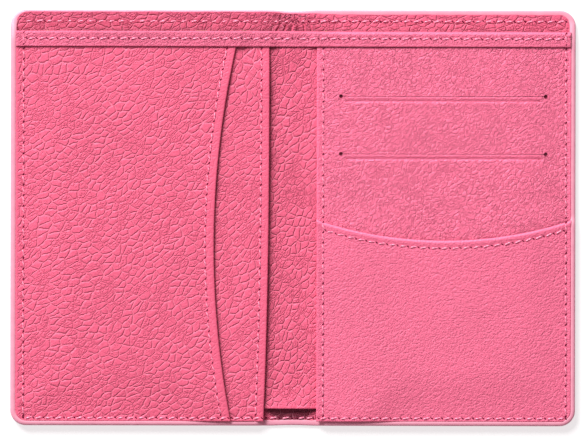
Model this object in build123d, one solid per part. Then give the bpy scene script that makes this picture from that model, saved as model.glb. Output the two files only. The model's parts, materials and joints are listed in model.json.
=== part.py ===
"""Bifold passport holder, lying open with its inside up.

X runs across the open cover, Y up its height, Z out of the table. The origin is the middle of the
outer face. The left cover holds a passport sleeve and a slip pocket, the right cover a panel with
two card slits and a receipt pocket, and a banknote compartment runs behind them all from side to side.
"""
import os
from math import atan2, degrees

from build123d import *

# Overall size
open_width = 193.0          # across both covers and the spine
height = 142.0
corner_radius = 5.4         # outer corners, seen from above
spine_bow = 0.6             # how far the spine's ends draw in

# Thickness of each layer
shell_thick = 0.9           # outer leather
board_thick = 0.4           # stiffener bonded inside each cover
lining_thick = 0.3
divider_thick = 0.7         # front wall of the banknote compartment
sleeve_thick = 0.7
slip_thick = 0.7
panel_thick = 0.7
receipt_thick = 0.7
liner_thick = 0.15          # cloth of the card pockets
hem_thick = 0.5
thread_proud = 0.15

# Room between layers
bill_gap = 0.6
sleeve_gap = 0.25
slip_gap = 0.25
card_gap = 0.45
receipt_gap = 0.2
closed_gap = 2.4            # left between the inner faces when the holder is shut

# Edges and margins, seen from above
paint_width = 0.4           # painted edge outside the leather
paint_lip = 0.3             # how far the paint laps over the leather
paint_foot = 0.15           # the paint starts this far above the outer face
paint_round = 0.25
side_ledge_left = 1.5       # from the outline to the inner layers
side_ledge_right = 1.3
bottom_ledge = 1.1
top_ledge = 0.8
board_margin = 7.0
joint_clearance = 0.15      # between each layer's end and the fold axis
proud_clearance = 1.0       # the same, for layers that stand above the axis
tape_width = 2.4
tape_setback = 0.4          # tape edges stay inside the leather that covers them

# The hem that binds the top of the pockets
hem_top_drop = 6.8          # from the top outline to the hem's top edge
hem_width = 5.8
hem_wall = 0.6              # leather turned over the top edge
panel_tuck = 0.1            # between a panel's top edge and that turned leather

# Left pockets
sleeve_setback_top = 4.5    # from the fold axis to the sleeve's open edge, at the hem
sleeve_lean = 1.8           # the open edge leans away from the spine by this much at the bottom
slip_setback_top = 10.2     # from the sleeve's edge to the slip pocket's edge, at the hem
slip_setback_bottom = 11.3
slip_hollow = 7.4           # depth of the slip pocket's curved edge

# Right pockets
panel_setback = 4.45        # from the fold axis to the card panel's edge
slit_width = 0.5
slit_end_diameter = 1.1
slit_inner_margin = 8.3     # from the panel's inner edge to the end hole beside it
slit_outer_margin = 8.8     # the same, at the outer edge
slit_drop = 16.8            # from the hem's bottom edge to the upper slit
slit_pitch = 19.7
liner_margin = 1.5          # cloth beyond each end of a slit
receipt_drop = 0.5          # the receipt pocket's inner corner lies this far below mid height
receipt_hollow = 7.1

# Banknote divider
cave_height = 5.8           # the divider's bottom edge stands this far above the outline at the spine
cave_side = 1.6             # the raised part reaches this far past the pocket edges

# Stitching
stitch_pitch = 3.5
stitch_length = 2.6
thread_width = 0.6
side_seam_left = 4.5        # from the outline
side_seam_right = 3.3
bottom_seam = 2.7
top_seam = 3.8
hem_seam = 3.0              # from the hem's top edge
sleeve_seam = 2.75          # from the sleeve's open edge
slip_seam = 3.0
panel_seam = 2.3
receipt_seam = 2.6
seam_end_gap = 1.2          # a run stops this short of a step or an edge

# Levels, from the outer face up
board_low = shell_thick
lining_low = board_low + board_thick
lining_top = lining_low + lining_thick
divider_low = lining_top + bill_gap
divider_top = divider_low + divider_thick
sleeve_low = divider_top + sleeve_gap
sleeve_top = sleeve_low + sleeve_thick
slip_low = sleeve_top + slip_gap
slip_top = slip_low + slip_thick
panel_low = divider_top + card_gap
panel_top = panel_low + panel_thick
receipt_low = panel_top + receipt_gap
receipt_top = receipt_low + receipt_thick
spine_lining_low = shell_thick
spine_lining_top = spine_lining_low + lining_thick

# Folds: two parallel axes level with the top of the divider, far enough apart to shut over the pockets
fold_level = divider_top
left_rise = slip_top + hem_thick + thread_proud - fold_level
right_rise = max(panel_top + hem_thick, receipt_top) + thread_proud - fold_level
fold_half = (left_rise + right_rise + closed_gap) / 2

# Places seen from above
half_width = open_width / 2
half_height = height / 2
panels_bottom = -half_height + bottom_ledge
hem_high = half_height - hem_top_drop
hem_low = hem_high - hem_width
panels_top = hem_high - hem_wall - panel_tuck
left_edge = -half_width + side_ledge_left
right_edge = half_width - side_ledge_right
body_end = fold_half + joint_clearance
fold_inner = fold_half - joint_clearance
proud_end = fold_half + proud_clearance
sleeve_edge_top = -fold_half - sleeve_setback_top
sleeve_edge_bottom = sleeve_edge_top - sleeve_lean
slip_edge_top = sleeve_edge_top - slip_setback_top
slip_edge_bottom = sleeve_edge_bottom - slip_setback_bottom
slip_edge_middle = (slip_edge_top + slip_edge_bottom) / 2 - slip_hollow
panel_edge = fold_half + panel_setback
slit_start = panel_edge + slit_inner_margin
slit_end = right_edge - slit_outer_margin
slit_levels = [hem_low - slit_drop - slit_pitch * row for row in (0, 1)]
receipt_corner = -receipt_drop
cave_edge = -half_height + cave_height


def plate(x_from, x_to, y_from, y_to, z_low, thick, round_x=None, radius=0.0):
    """A flat sheet; its two corners at x = round_x are rounded."""
    sheet = Box(x_to - x_from, y_to - y_from, thick, align=(Align.MIN, Align.MIN, Align.MIN))
    sheet = Pos(x_from, y_from, z_low) * sheet
    if radius > 0:
        corners = [e for e in sheet.edges().filter_by(Axis.Z) if abs(e.center().X - round_x) < 0.01]
        sheet = fillet(corners, radius)
    return sheet


def cover_sheet(side, inner, outer_inset, bottom_inset, top_inset, z_low, thick):
    """A sheet of one cover: side is -1 or 1, inner its end at the spine, insets from the outline."""
    outer = half_width - outer_inset
    radius = max(corner_radius - min(outer_inset, bottom_inset, top_inset), 0.5)
    x_from, x_to = (-outer, -inner) if side < 0 else (inner, outer)
    y_from, y_to = -half_height + bottom_inset, half_height - top_inset
    return plate(x_from, x_to, y_from, y_to, z_low, thick, side * outer, radius)


def outline_sheet(edges, z_low, thick):
    """A sheet with the closed outline that the given edges make."""
    return extrude(Pos(0, 0, z_low) * make_face(Wire(edges)), amount=thick)


def polyline_sheet(points, z_low, thick):
    return extrude(Pos(0, 0, z_low) * make_face(Polyline(*points, close=True)), amount=thick)


def spine_sheet(inset, z_low, thick):
    """A sheet across the spine, whose two ends draw in a little at the middle."""
    high = half_height - inset
    return outline_sheet([
        ThreePointArc((-fold_inner, high), (0, high - spine_bow), (fold_inner, high)),
        Line((fold_inner, high), (fold_inner, -high)),
        ThreePointArc((fold_inner, -high), (0, -high + spine_bow), (-fold_inner, -high)),
        Line((-fold_inner, -high), (-fold_inner, high)),
    ], z_low, thick)


def stitch_run(path, z_low):
    """Stitches in a row along a path, lying on the surface at z_low."""
    count = max(int(path.length // stitch_pitch), 1)
    bar = Box(stitch_length, thread_width, thread_proud, align=(Align.CENTER, Align.CENTER, Align.MIN))
    stitches = []
    for index in range(count):
        place, heading = path @ ((index + 0.5) / count), path % ((index + 0.5) / count)
        turn = degrees(atan2(heading.Y, heading.X))
        stitches.append(Pos(place.X, place.Y, z_low) * Rot(0, 0, turn) * bar)
    return stitches


def hem_strip(steps):
    """The hem over a stack of layers: steps are (x, level) pairs along its underside."""
    lower, upper = [], []
    for (x_from, level), (x_to, _) in zip(steps, steps[1:]):
        lower += [(x_from, level), (x_to, level)]
    for index, (x_place, level) in enumerate(lower):
        shift = 0.0
        if 0 < index < len(lower) - 1:
            before, after = lower[index - 1][1], lower[index + 1][1]
            falls = (before > level) or (after < level)
            shift = hem_thick if falls else -hem_thick
        upper.append((x_place + shift, level + hem_thick))
    strip = Plane.XZ * make_face(Polyline(*lower, *reversed(upper), close=True))
    over = Pos(0, hem_high - hem_wall, 0) * extrude(strip, amount=hem_width - hem_wall)
    ends = [(steps[0][0], divider_low), (steps[-1][0], divider_low)]
    wall = Plane.XZ * make_face(Polyline(*ends, *reversed(upper), close=True))
    return over + Pos(0, hem_high, 0) * extrude(wall, amount=hem_wall)


parts = {}

# Outer shells, boards and linings
for side, name, ledge in ((-1, "left", side_ledge_left), (1, "right", side_ledge_right)):
    shell = cover_sheet(side, body_end, paint_width, paint_width, paint_width, 0, lining_low)
    board = cover_sheet(side, body_end + board_margin, board_margin, board_margin, board_margin,
                        board_low, board_thick)
    parts["shell_" + name] = shell - board
    parts["board_" + name] = board
    parts["lining_" + name] = cover_sheet(side, body_end, ledge, bottom_ledge, top_ledge,
                                          lining_low, lining_thick)
    rim = cover_sheet(side, body_end, 0, 0, 0, paint_foot, lining_top - paint_foot)
    rim_top = [e for e in rim.edges() if abs(e.center().Z - lining_top) < 0.01
               and abs(abs(e.center().X) - body_end) > 0.01]
    rim = fillet(rim_top, paint_round)
    lip = paint_width + paint_lip
    core = cover_sheet(side, body_end - 1, lip, lip, lip, 0, lining_top + 1)
    parts["edge_paint_" + name] = rim - shell - core

parts["shell_spine"] = spine_sheet(paint_width, 0, spine_lining_low)
parts["lining_spine"] = spine_sheet(bottom_ledge, spine_lining_low, lining_thick)
parts["edge_paint_spine"] = (spine_sheet(0, paint_foot, spine_lining_top - paint_foot)
                             - spine_sheet(paint_width, 0, spine_lining_top + 1))

# Banknote divider: its bottom edge is raised at the spine
cave_left = sleeve_edge_bottom - cave_side
cave_right = panel_edge + cave_side
parts["divider_left"] = polyline_sheet([
    (left_edge, panels_bottom), (cave_left, panels_bottom), (cave_left, cave_edge),
    (-body_end, cave_edge), (-body_end, panels_top), (left_edge, panels_top)], divider_low, divider_thick)
parts["divider_right"] = polyline_sheet([
    (right_edge, panels_bottom), (cave_right, panels_bottom), (cave_right, cave_edge),
    (body_end, cave_edge), (body_end, panels_top), (right_edge, panels_top)], divider_low, divider_thick)
parts["divider_spine"] = plate(-fold_inner, fold_inner, cave_edge, panels_top, divider_low, divider_thick)


def pocket_corner(sheet, x_edge):
    """Rounds the outer bottom corner of a pocket like the cover's own corner."""
    corner = [e for e in sheet.edges().filter_by(Axis.Z)
              if abs(e.center().X - x_edge) < 0.01 and e.center().Y < panels_bottom + 0.01]
    return fillet(corner, corner_radius - bottom_ledge)


for name, x_edge in (("divider_left", left_edge), ("divider_right", right_edge)):
    parts[name] = pocket_corner(parts[name], x_edge)

# Left pockets
sleeve = polyline_sheet([
    (left_edge, panels_bottom), (sleeve_edge_bottom, panels_bottom), (sleeve_edge_top, panels_top),
    (left_edge, panels_top)], sleeve_low, sleeve_thick)
parts["passport_sleeve"] = pocket_corner(sleeve, left_edge)

panels_middle = (panels_bottom + panels_top) / 2
slip_mouth = ThreePointArc((slip_edge_bottom, panels_bottom), (slip_edge_middle, panels_middle),
                           (slip_edge_top, panels_top))
slip = outline_sheet([
    slip_mouth, Line((slip_edge_top, panels_top), (left_edge, panels_top)),
    Line((left_edge, panels_top), (left_edge, panels_bottom)),
    Line((left_edge, panels_bottom), (slip_edge_bottom, panels_bottom))], slip_low, slip_thick)
parts["slip_pocket"] = pocket_corner(slip, left_edge)

# Right pockets
panel = plate(panel_edge, right_edge, panels_bottom, panels_top, panel_low, panel_thick)
panel = pocket_corner(panel, right_edge)
for slit_level in slit_levels:
    panel -= Pos((slit_start + slit_end) / 2, slit_level, panel_low) * Box(
        slit_end - slit_start, slit_width, panel_thick * 3)
    for end in (slit_start, slit_end):
        panel -= Pos(end, slit_level, panel_low) * Cylinder(slit_end_diameter / 2, panel_thick * 3)

# The panel is cut level with its slits: bands with straight edges, and the leather that joins them
# beyond each end of a slit
panel_size = panel.bounding_box()
slit_edges = [level + side * slit_width / 2 for level in slit_levels for side in (1, -1)]
band_limits = [panel_size.max.Y, *slit_edges, panel_size.min.Y]
slices = [panel & plate(panel_edge, right_edge, low, high, panel_low, panel_thick)
          for high, low in zip(band_limits, band_limits[1:])]
parts["card_panel_top"], parts["card_panel_middle"], parts["card_panel_bottom"] = slices[0::2]
parts["card_panel_bridges"] = Compound(children=[s for joint in slices[1::2] for s in joint.solids()])

liner_levels = (divider_top, panel_low - liner_thick)
liner_foot = panels_bottom + tape_setback + tape_width
for name, slit_level, liner_low in zip(("upper", "lower"), slit_levels, liner_levels):
    parts["card_liner_" + name] = plate(slit_start - liner_margin, slit_end + liner_margin,
                                        liner_foot, slit_level + liner_margin, liner_low, liner_thick)

receipt_mouth = ThreePointArc((panel_edge, receipt_corner),
                              ((panel_edge + right_edge) / 2, receipt_corner - receipt_hollow),
                              (right_edge, receipt_corner))
receipt = outline_sheet([
    receipt_mouth, Line((right_edge, receipt_corner), (right_edge, panels_bottom)),
    Line((right_edge, panels_bottom), (panel_edge, panels_bottom)),
    Line((panel_edge, panels_bottom), (panel_edge, receipt_corner))], receipt_low, receipt_thick)
parts["receipt_pocket"] = pocket_corner(receipt, right_edge)


def tape(name, z_low, thick, x_outer, x_inner, y_top, inner_side=True, top_side=True):
    """Seam tape along the stitched sides of a pocket, between its leather and the layer below."""
    inward = 1 if x_inner > x_outer else -1
    y_low = panels_bottom + tape_setback
    outer, inner = x_outer + inward * tape_setback, x_inner - inward * tape_setback
    strips = [(outer, outer + inward * tape_width, y_low + tape_width, y_top),
              (outer + inward * corner_radius, inner, y_low, y_low + tape_width)]
    if inner_side:
        strips.append((inner - inward * tape_width, inner, y_low + tape_width, y_top))
    if top_side:
        strips.append((outer + inward * tape_width, inner, y_top - tape_width, y_top))
    solids = [plate(min(a, b), max(a, b), c, d, z_low, thick) for a, b, c, d in strips]
    joined = solids[0]
    for solid in solids[1:]:
        joined += solid
    parts[name] = joined


tape_top = panels_top - tape_setback
tape("bill_seam_tape_left", lining_top, bill_gap, left_edge, cave_left, tape_top, False, False)
tape("bill_seam_tape_right", lining_top, bill_gap, right_edge, cave_right, tape_top, False, False)
tape("sleeve_seam_tape", divider_top, sleeve_gap, left_edge, cave_left, tape_top, False)
tape("slip_seam_tape", sleeve_top, slip_gap, left_edge, min(slip_edge_top, slip_edge_bottom) - tape_width,
     tape_top, False)
tape("card_seam_tape", divider_top, card_gap, right_edge, cave_right, tape_top)
tape("receipt_seam_tape", panel_top, receipt_gap, right_edge, panel_edge,
     receipt_corner - receipt_hollow - tape_setback, True, False)

# Hem, stepping down from layer to layer towards the spine
slip_step = slip_edge_top + panel_tuck
sleeve_step = sleeve_edge_top + panel_tuck
parts["hem_left"] = hem_strip([(left_edge, slip_top), (slip_step, sleeve_top), (sleeve_step, divider_top),
                               (-proud_end, divider_top)])
parts["hem_spine"] = hem_strip([(-fold_inner, divider_top), (fold_inner, divider_top)])
parts["hem_right"] = hem_strip([(proud_end, divider_top), (panel_edge - panel_tuck, panel_top),
                                (right_edge, panel_top)])

# Stitching
side_x_left = -half_width + side_seam_left
side_x_right = half_width - side_seam_right
inner_x = panel_edge + panel_seam
bottom_y = -half_height + bottom_seam
top_y = half_height - top_seam
hem_y = hem_high - hem_seam


def straight(x_from, y_from, x_to, y_to):
    return Line((x_from, y_from), (x_to, y_to))


def seam(name, *runs):
    parts[name] = Compound(children=[bar for path, level in runs for bar in stitch_run(path, level)])


def sleeve_edge_at(y_place):
    """The x of the sleeve's leaning edge at a given height."""
    share = (y_place - panels_bottom) / (panels_top - panels_bottom)
    return sleeve_edge_bottom + sleeve_lean * share


gap = seam_end_gap
hem_step = hem_thick + thread_width
seam("seam_left_side",
     (straight(side_x_left, bottom_y + gap, side_x_left, hem_low - gap), slip_top),
     (straight(side_x_left, hem_low + thread_width, side_x_left, hem_high - thread_width),
      slip_top + hem_thick))
seam("seam_bottom_left",
     (straight(side_x_left + gap, bottom_y, slip_edge_bottom - gap, bottom_y), slip_top),
     (straight(slip_edge_bottom + gap, bottom_y, sleeve_edge_bottom - gap, bottom_y), sleeve_top),
     (straight(cave_left + gap, bottom_y, -body_end - thread_width, bottom_y), lining_top))
seam("seam_top_left", (straight(side_x_left, top_y, -body_end - thread_width, top_y), lining_top))
seam("seam_sleeve_edge",
     (straight(sleeve_edge_at(bottom_y) - sleeve_seam, bottom_y + gap,
               sleeve_edge_at(hem_low) - sleeve_seam, hem_low - gap), sleeve_top))
slip_path = ThreePointArc(
    (slip_edge_bottom - slip_seam, bottom_y + gap),
    (slip_edge_middle - slip_seam, panels_middle),
    (slip_edge_top - slip_seam - gap, hem_low - gap))
seam("seam_slip_edge", (slip_path, slip_top))
seam("seam_hem_left",
     (straight(side_x_left + gap, hem_y, slip_step - gap, hem_y), slip_top + hem_thick),
     (straight(slip_step + hem_step, hem_y, sleeve_step - gap, hem_y), sleeve_top + hem_thick))
for name, y_place, level in (("hem", hem_y, divider_top + hem_thick), ("top", top_y, spine_lining_top),
                             ("bottom", bottom_y, spine_lining_top)):
    seam("seam_" + name + "_spine",
         (straight(-fold_inner + gap, y_place, fold_inner - gap, y_place), level))
seam("seam_right_side",
     (straight(side_x_right, bottom_y + gap, side_x_right, receipt_corner - gap), receipt_top),
     (straight(side_x_right, receipt_corner + gap, side_x_right, hem_low - gap), panel_top),
     (straight(side_x_right, hem_low + thread_width, side_x_right, hem_high - thread_width),
      panel_top + hem_thick))
seam("seam_bottom_right",
     (straight(panel_edge + gap, bottom_y, side_x_right - gap, bottom_y), receipt_top),
     (straight(body_end + thread_width, bottom_y, panel_edge - gap, bottom_y), lining_top))
seam("seam_top_right", (straight(body_end + thread_width, top_y, side_x_right, top_y), lining_top))
seam("seam_panel_inner",
     (straight(inner_x, bottom_y + gap, inner_x, receipt_corner - gap), receipt_top),
     (straight(inner_x, receipt_corner + gap, inner_x, hem_low - gap), panel_top))
receipt_path = ThreePointArc(
    (inner_x + gap, receipt_corner - receipt_seam - gap / 2),
    ((panel_edge + right_edge) / 2, receipt_corner - receipt_hollow - receipt_seam),
    (side_x_right - gap, receipt_corner - receipt_seam - gap / 2))
seam("seam_receipt_edge", (receipt_path, receipt_top))
seam("seam_hem_right",
     (straight(panel_edge + gap, hem_y, side_x_right - gap, hem_y), panel_top + hem_thick))

os.makedirs("parts", exist_ok=True)
for name, part in parts.items():
    part.label = name
    export_step(part, "parts/" + name + ".step")
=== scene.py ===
import bpy
import bmesh
import json
import math
import numpy as np
from mathutils import Matrix, Vector


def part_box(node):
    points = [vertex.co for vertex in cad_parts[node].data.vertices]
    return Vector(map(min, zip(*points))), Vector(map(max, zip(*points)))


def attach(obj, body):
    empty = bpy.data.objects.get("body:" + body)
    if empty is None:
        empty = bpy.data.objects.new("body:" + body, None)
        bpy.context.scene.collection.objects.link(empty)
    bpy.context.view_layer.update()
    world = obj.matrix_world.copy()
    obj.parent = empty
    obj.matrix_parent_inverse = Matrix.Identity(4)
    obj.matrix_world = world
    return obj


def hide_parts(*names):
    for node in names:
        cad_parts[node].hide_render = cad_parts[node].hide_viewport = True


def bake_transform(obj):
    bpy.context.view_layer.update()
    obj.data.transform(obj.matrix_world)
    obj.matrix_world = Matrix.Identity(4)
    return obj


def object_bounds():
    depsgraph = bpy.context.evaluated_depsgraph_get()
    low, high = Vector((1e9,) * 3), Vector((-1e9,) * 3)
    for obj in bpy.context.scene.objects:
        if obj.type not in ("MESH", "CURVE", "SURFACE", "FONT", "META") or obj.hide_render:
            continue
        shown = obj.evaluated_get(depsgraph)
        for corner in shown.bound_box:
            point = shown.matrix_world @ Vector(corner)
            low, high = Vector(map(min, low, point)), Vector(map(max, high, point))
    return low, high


# A bifold passport holder in pebbled leather, lying open with its inside up.
# Lengths inside this script are in millimetres; meshes are handed over in metres.

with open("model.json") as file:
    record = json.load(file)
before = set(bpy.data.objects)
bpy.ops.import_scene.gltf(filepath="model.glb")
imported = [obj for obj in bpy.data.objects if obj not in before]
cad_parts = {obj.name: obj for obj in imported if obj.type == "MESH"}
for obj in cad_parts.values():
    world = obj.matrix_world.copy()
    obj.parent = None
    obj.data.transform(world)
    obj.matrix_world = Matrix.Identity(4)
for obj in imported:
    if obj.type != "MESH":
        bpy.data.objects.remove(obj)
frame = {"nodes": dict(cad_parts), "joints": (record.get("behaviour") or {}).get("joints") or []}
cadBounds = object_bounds()
toMetres = 0.001
print("frame loaded")


# Low and high corners of a piece of the frame, in millimetres.
def cadBox(node):
    low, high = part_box(node)
    return low / toMetres, high / toMetres


# measures taken from the frame
holderHigh = cadBounds[1] / toMetres
halfWidth, halfHeight = holderHigh.x, holderHigh.y
slipLow, slipHigh = cadBox("slip_pocket")
receiptHigh = cadBox("receipt_pocket")[1]
panelsLow, panelsTop = slipLow.y + 0.4, slipHigh.y    # the pockets stop a little short of the painted edge
leftEdge, rightEdge, receiptCorner = slipLow.x, receiptHigh.x, receiptHigh.y
hemLow, hemHigh = [corner.y for corner in cadBox("hem_left")]
panelEdge = cadBox("card_panel_top")[0].x
slitLevels = [(cadBox("card_panel_" + above)[0].y + cadBox("card_panel_" + below)[1].y) / 2
              for above, below in (("top", "middle"), ("middle", "bottom"))]
foldHalf = [j for j in frame["joints"] if j["name"] == "right_fold"][0]["pos_m"][0] / toMetres
caveLow = cadBox("divider_spine")[0].y
sleeveTopX = cadBox("passport_sleeve")[1].x

leather = {
    "cornerRadius": 5.4,
    "outlineInset": 0.35,      # the shell stops this far inside the rounded rim
    "bowTop": 0.38,            # the outline draws in this much at the spine
    "bowFoot": 0.18,
    "edgeRoll": 0.42,          # radius of a turned leather edge
    "mouthRoll": 1.0,          # and of the receipt pocket's folded mouth
    "shell": 0.9,
    "lining": 0.3,
    "boardLift": 0.42,         # the lining rises this much over the boards
    "layer": 0.7,
    "layerSewn": 0.58,         # a layer's thickness where the stack is sewn tight
    "hem": 0.5,
    "dividerEdge": 2.05,       # top of the divider there
    "dividerInner": 2.7,       # and where it lies loose
    "squeezeReach": 18.0,      # how far in the sewing pulls the stack down
    "spineDip": 0.55,          # the divider sinks this much over the spine
    "footLift": 0.45,          # and lifts this much at its open foot
    "sleeveGape": 0.5,         # lift of the sleeve's open edge
    "slipGape": 0.25,
    "fineStep": 0.5,           # mesh spacing that carries the grain
    "coarseStep": 2.4,
}


# small helpers
def smooth(low, high, value):
    share = np.clip((value - low) / (high - low), 0, 1)
    return share * share * (3 - 2 * share)


# A soft ridge of height 1 that is width wide on either side.
def ridge(distance, width):
    return np.exp(-(distance / width) ** 2)


# Spreads the grid places between low and high over the places between newLow and newHigh.
def spread(grid, low, high, newLow, newHigh):
    return newLow + (grid - low) / (high - low) * (newHigh - newLow)


# Soft uneven waves about size millimetres long, from -1 to 1.
def ripple(x, y, seed, size):
    rng = np.random.default_rng(seed)
    total = 0
    for _ in range(7):
        angle, phase, stretch = rng.uniform(0, math.tau), rng.uniform(0, math.tau), rng.uniform(0.7, 1.5)
        along = x * math.cos(angle) + y * math.sin(angle)
        total = total + np.sin(along * math.tau / (size * stretch) + phase)
    return total / 4


# Half the outline's width at height y, with its rounded corners.
def cornerX(y, inset, insetY):
    radius = np.maximum(leather["cornerRadius"] - (inset + insetY) / 2, 0.5)
    past = np.clip(np.abs(y) - (halfHeight - insetY - radius), 0, radius)
    return halfWidth - inset - radius + np.sqrt(np.maximum(radius ** 2 - past ** 2, 0))


# Eases the outer columns of a grid, so that the last one follows the rounded corner at edge.
def eased(gridX, full, edge, reach):
    share = smooth(full - reach, full, np.abs(gridX))
    return np.sign(gridX) * (np.abs(gridX) - (full - edge) * share)


# The outline draws in a little at the spine, more at the top than at the foot.
def bowIn(x, y):
    return np.where(y > 0, leather["bowTop"], leather["bowFoot"]) * (1 - smooth(1.0, 8.5, np.abs(x)))


# Places along a line: zones are (low, high, step), closer together at a rolled edge.
def stations(zones, rollLow=True, rollHigh=True):
    places = []
    for low, high, step in zones:
        count = max(1, round((high - low) / step))
        places += list(np.linspace(low, high, count + 1)[:-1])
    first, last = zones[0][0], zones[-1][1]
    places.append(last)
    roll = [0.05, 0.13, 0.25, 0.4]
    if rollLow:
        places = [first] + [first + r for r in roll] + [p for p in places if p > first + 0.58]
    if rollHigh:
        places = [p for p in places if p < last - 0.58] + [last - r for r in reversed(roll)] + [last]
    return np.array(places)


def toLinear(hexColour):
    values = [int(hexColour[i:i + 2], 16) / 255 for i in (1, 3, 5)]
    return [v / 12.92 if v <= 0.04045 else ((v + 0.055) / 1.055) ** 2.4 for v in values] + [1.0]


# Adds a node. An input may be a value, a socket, or a node, which then gives its first output.
def addNode(tree, kind, inputs=(), **settings):
    node = tree.nodes.new(kind)
    for name, value in settings.items():
        setattr(node, name, value)
    for name, value in inputs.items() if isinstance(inputs, dict) else enumerate(inputs):
        if isinstance(value, bpy.types.Node):
            value = next(socket for socket in value.outputs if socket.enabled)
        if isinstance(value, bpy.types.NodeSocket):
            tree.links.new(value, node.inputs[name])
        else:
            node.inputs[name].default_value = value
    return node


# Turns a finished bmesh into a mesh.
def toMesh(name, bm):
    mesh = bpy.data.meshes.new(name)
    bm.to_mesh(mesh)
    bm.free()
    return mesh


def addObject(name, data):
    obj = bpy.data.objects.new(name, data)
    bpy.context.scene.collection.objects.link(obj)
    return obj


def setMaterial(obj, material):
    obj.data.materials.clear()
    obj.data.materials.append(material)


# heights of the layers, all functions of where a point lies on the open holder
# How far a point lies inside the sewn outline; the foot is not sewn down near the spine.
def insideBy(x, y):
    bottom = y - panelsLow + 22 * (1 - smooth(9.5, 45, np.abs(x + 0.5)))
    return np.minimum(np.minimum(x - leftEdge, rightEdge - x), bottom)


def squeeze(x, y):
    return smooth(1.0, leather["squeezeReach"], insideBy(x, y))


def layerAt(x, y):
    return leather["layerSewn"] + (leather["layer"] - leather["layerSewn"]) * squeeze(x, y)


# 0 where the bottom seam and the hem hold a layer down, 1 between them.
def loose(y, footFrom, footTo, headFrom):
    return smooth(footFrom, footTo, y) * (1 - smooth(headFrom, 57, y))


def liningTop(x, y):
    inner = np.minimum(np.minimum(halfWidth - np.abs(x), halfHeight - np.abs(y)), np.abs(x) - foldHalf)
    return leather["shell"] + leather["lining"] + leather["boardLift"] * smooth(4.5, 9, inner)


def dividerTop(x, y):
    top = leather["dividerEdge"] + (leather["dividerInner"] - leather["dividerEdge"]) * squeeze(x, y)
    spine = smooth(-9.5, -4.5, x) * (1 - smooth(2.0, 8.0, x))
    foot = 1 - smooth(-66, -58, y)
    return top - spine * (leather["spineDip"] * loose(y, -66, -58, 48) - leather["footLift"] * foot)


def sleeveTop(x, y):
    gape = leather["sleeveGape"] * smooth(-22, -9, x) * loose(y, -68, -58, 44)
    return dividerTop(np.minimum(x, -9.6), y) + layerAt(x, y) + 0.08 * squeeze(x, y) + gape


def sleeveEdge(y):
    share = (y - panelsLow) / (panelsTop - panelsLow)
    return sleeveTopX - 1.9 * (1 - share) ** 3


# X of the slip pocket's curved edge.
def slipMouth(y):
    share = (y - panelsLow) / (panelsTop - panelsLow)
    low, high = -21.1, -18.3
    return low + (high - low) * share - 7.2 * 4 * share * (1 - share)


def slipTop(x, y):
    gape = leather["slipGape"] * smooth(9, 0, slipMouth(y) - x) * loose(y, -68, -60, 46)
    return sleeveTop(np.minimum(x, -20), y) + layerAt(x, y) + 0.08 * squeeze(x, y) + gape


def panelTop(x, y):
    return dividerTop(np.maximum(x, 8.2), y) + layerAt(x, y) + 0.12 * squeeze(x, y) * smooth(11, 20, x)


def receiptTop(x, y):
    return panelTop(x, y) + layerAt(x, y) + 0.05


# Y of the receipt pocket's top edge.
def receiptMouth(x):
    share = (x - panelEdge) / (rightEdge - panelEdge)
    return receiptCorner - 7.1 * np.maximum(4 * share * (1 - share), 0) ** 0.94


def hemTop(x, y):
    under, slipEnd = dividerTop(x, y), slipMouth(61)
    for layerTop, share in ((sleeveTop, 1 - smooth(sleeveTopX, sleeveTopX + 3.5, x)),
                            (slipTop, 1 - smooth(slipEnd, slipEnd + 5.0, x)),
                            (panelTop, smooth(panelEdge - 4.0, panelEdge, x))):
        under = under + (layerTop(x, y) - under) * share
    return under + leather["hem"]


# leather grain: one pattern, used to raise the mesh and to shade the fine creases
grain = {
    "cell": (3.5, 2.05),       # mm along and across the grain
    "lean": math.radians(38),  # the cells lean up to the right
    "swayAmount": 6.0,         # mm of slow wander, so that the cells run in bent rows
    "swaySize": 45.0,
    "jitterAmount": 0.5,       # mm of quick wander in each crease
    "jitterSize": 1.9,
    "irregular": 0.88,
    "fadeSize": 5.0,           # mm over which a crease fades out and comes back
    "fadeAmount": 0.07,        # mm, against the width of a crease
    "fadeAmount": 0.07,        # mm, against the width of a crease
    "fineFaint": 0.13,         # how much fainter the small creases inside a pebble are, in mm
    "finer": 2.3,              # small creases to one pebble
    "fullDepth": 0.12,         # mm of relief at which the folds and the creases' colour show fully
}

# kinds of node used over and over; a ramp's inputs are its value, from, to and the result at each
mathNode, vectorNode, rampNode = "ShaderNodeMath", "ShaderNodeVectorMath", "ShaderNodeMapRange"
noiseNode, attributeNode = "ShaderNodeTexNoise", "ShaderNodeAttribute"
softStep = {"interpolation_type": "SMOOTHSTEP"}


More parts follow.
